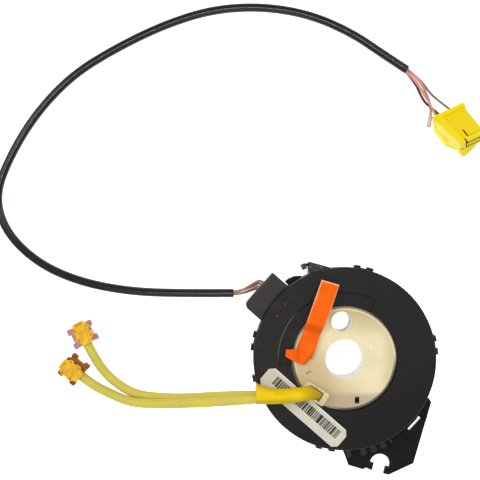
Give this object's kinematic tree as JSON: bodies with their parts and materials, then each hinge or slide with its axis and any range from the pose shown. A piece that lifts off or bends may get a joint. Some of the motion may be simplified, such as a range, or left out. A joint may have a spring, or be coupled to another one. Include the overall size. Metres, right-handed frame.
{
  "type": "steering clock spring",
  "caption": "Round steering clock spring: a turning rotor in a flat case, sleeved squib leads with plugs, and a sheathed column lead with a yellow connector.",
  "frame": {"origin": "on the rotor's axis, in the plane of the case's back face", "axes": "+Z along the rotor's axis from the column's side to the wheel's side; +Y towards the ear on the rim, +X to the right of it; the part lies on its back"},
  "size_m": [0.2983, 0.2899, 0.035],
  "materials": {
    "housing_plastic": "satin",
    "block_plastic": "satin",
    "label_paper": "satin",
    "rotor_plastic": "satin",
    "retainer_plastic": "satin",
    "carrier_plastic": "satin",
    "terminal_metal": "satin",
    "ribbon_film": "smooth",
    "film": "smooth",
    "tab_plastic": "satin",
    "sleeve_rubber": "satin",
    "lead_rubber": "satin",
    "pink_plastic": "satin",
    "brown_plastic": "satin",
    "amber_plastic": "satin",
    "sheath_rubber": "glossy",
    "wire_pink": "satin",
    "wire_grey": "satin",
    "wire_brown": "satin",
    "cap_plastic": "satin",
    "connector_plastic": "satin"
  },
  "bodies": {
    "housing": {"base_housing": "housing_plastic", "top_cover": "housing_plastic", "lead_block": "block_plastic", "label": "label_paper", "stator_carrier": "carrier_plastic", "stator_terminals": "terminal_metal", "slide_film": "film", "lead_sheath": "sheath_rubber", "block_wires_pink": "wire_pink", "block_wires_grey": "wire_grey", "wire_pink": "wire_pink", "wire_spare": "wire_pink", "wire_grey": "wire_grey", "wire_brown": "wire_brown", "splice_cap": "cap_plastic", "harness_connector": "connector_plastic", "harness_terminals": "terminal_metal"},
    "rotor": {"rotor_hub": "rotor_plastic", "exit_boss": "rotor_plastic", "rotor_retainer": "retainer_plastic", "rotor_carrier": "carrier_plastic", "rotor_terminals": "terminal_metal", "root_sleeve": "sleeve_rubber", "wheel_lead_pink": "lead_rubber", "wheel_lead_brown": "lead_rubber", "squib_body_pink": "pink_plastic", "squib_body_brown": "brown_plastic", "squib_boot_pink": "amber_plastic", "squib_boot_brown": "amber_plastic", "squib_contacts_pink": "terminal_metal", "squib_contacts_brown": "terminal_metal", "ribbon_cable": "ribbon_film"},
    "lock_tab": {"lock_tab": "tab_plastic"},
    "pink_cover": {"squib_cover_pink": "amber_plastic"},
    "brown_cover": {"squib_cover_brown": "amber_plastic"},
    "front_lock": {"harness_front_lock": "connector_plastic"}
  },
  "joints": [
    {"name": "rotor_turn", "type": "hinge", "parent": "housing", "child": "rotor", "pos_m": [0, 0, 0], "axis": [0, 0, 1], "range_deg": [-1080, 1080], "deforming": ["ribbon_cable"]},
    {"name": "lock_pull", "type": "slide", "parent": "rotor", "child": "lock_tab", "axis": [0, 0, 1], "range_m": [0, 0.03]},
    {"name": "pink_cover_lift", "type": "slide", "parent": "rotor", "child": "pink_cover", "axis": [0, 0, 1], "range_m": [0, 0.003]},
    {"name": "brown_cover_lift", "type": "slide", "parent": "rotor", "child": "brown_cover", "axis": [0, 0, 1], "range_m": [0, 0.003]},
    {"name": "front_lock_slide", "type": "slide", "parent": "housing", "child": "front_lock", "axis": [0.4045, -0.7006, 0.5878], "range_m": [0, 0.003]}
  ]
}
